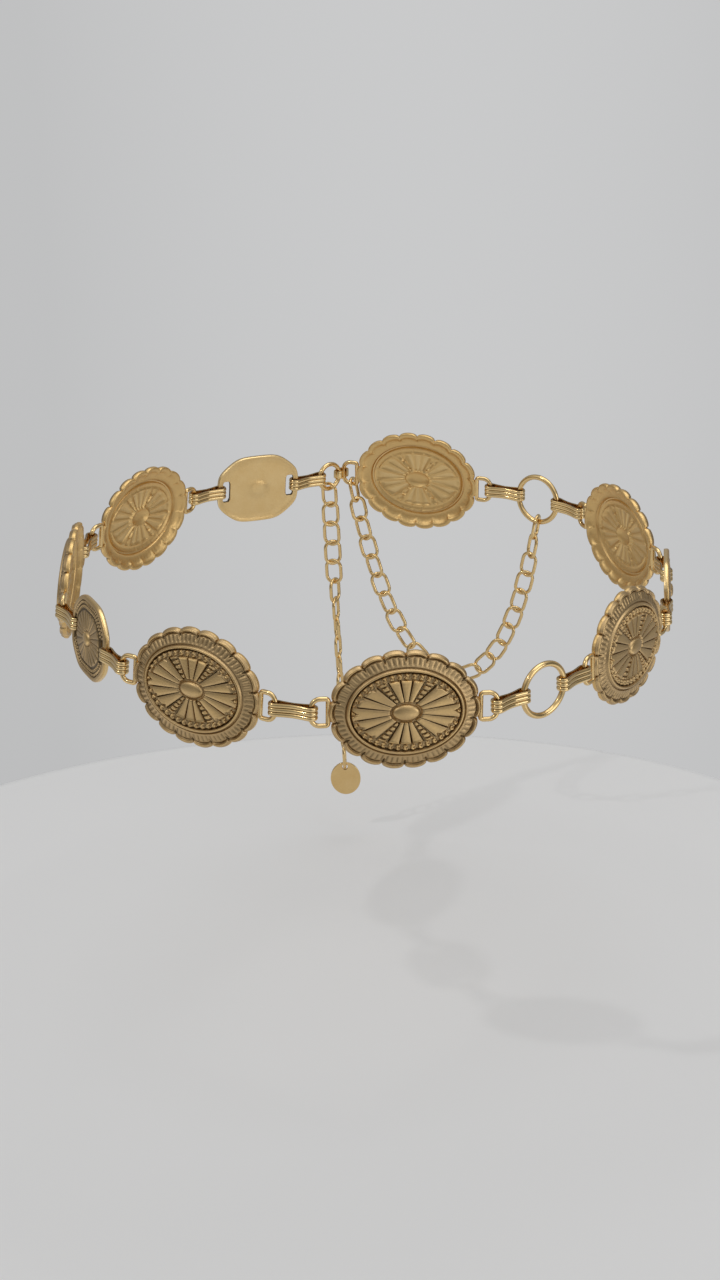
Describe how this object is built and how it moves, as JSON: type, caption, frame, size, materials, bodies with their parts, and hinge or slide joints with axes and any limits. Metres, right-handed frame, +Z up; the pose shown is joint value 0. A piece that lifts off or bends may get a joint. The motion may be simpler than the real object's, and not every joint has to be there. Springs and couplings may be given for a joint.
{
  "type": "coin chain belt",
  "caption": "Metal concho chain belt in antique gold, fastened in a ring as worn, with a tail chain and tag and a hanging swag chain.",
  "frame": {"origin": "centre of the waist that the belt is held on, at the middle of its height", "axes": "+Z up, -Y to the front of the belt, +X to the wearer's left"},
  "size_m": [0.2135, 0.24, 0.1595],
  "materials": {
    "antique_gold": "antiqued, dark in the recesses",
    "bright_gold": "polished"
  },
  "bodies": {
    "belt": {"concho_front": "antique_gold", "clip_front_ring": "bright_gold", "ring_front": "bright_gold", "clip_ring_right": "bright_gold", "concho_right_front": "antique_gold", "clip_right_front": "bright_gold", "small_right": "antique_gold", "clip_right_back": "bright_gold", "concho_right_back": "antique_gold", "clip_right_ring": "bright_gold", "ring_back": "bright_gold", "clip_ring_back": "bright_gold", "concho_back": "antique_gold", "hook": "bright_gold", "clasp_ring": "bright_gold", "clip_clasp": "bright_gold", "small_back": "antique_gold", "clip_back_left": "bright_gold", "concho_left_back": "antique_gold", "clip_left_back": "bright_gold", "concho_left": "antique_gold", "clip_left": "bright_gold", "small_left": "antique_gold", "clip_left_front": "bright_gold", "concho_left_front": "antique_gold", "clip_front_left": "bright_gold"},
    "swag": {"swag_chain": "bright_gold"},
    "tail": {"tail_chain": "bright_gold"},
    "tag": {"tag": "bright_gold"}
  },
  "joints": [
    {"name": "swag_swing", "type": "hinge", "parent": "belt", "child": "swag", "pos_m": [-0.00988, 0.11701, -0.00371], "axis": [0.9312, -0.343, -0.1232], "range_deg": [-10, 20]},
    {"name": "tail_swing", "type": "hinge", "parent": "belt", "child": "tail", "pos_m": [-0.01892, 0.11189, -0.00359], "axis": [-0.7403, -0.6703, 0.0518], "range_deg": [-25, 25]},
    {"name": "tag_swing", "type": "hinge", "parent": "tail", "child": "tag", "pos_m": [-0.01892, 0.11189, -0.12112], "axis": [0, -1, 0], "range_deg": [-40, 40]}
  ]
}
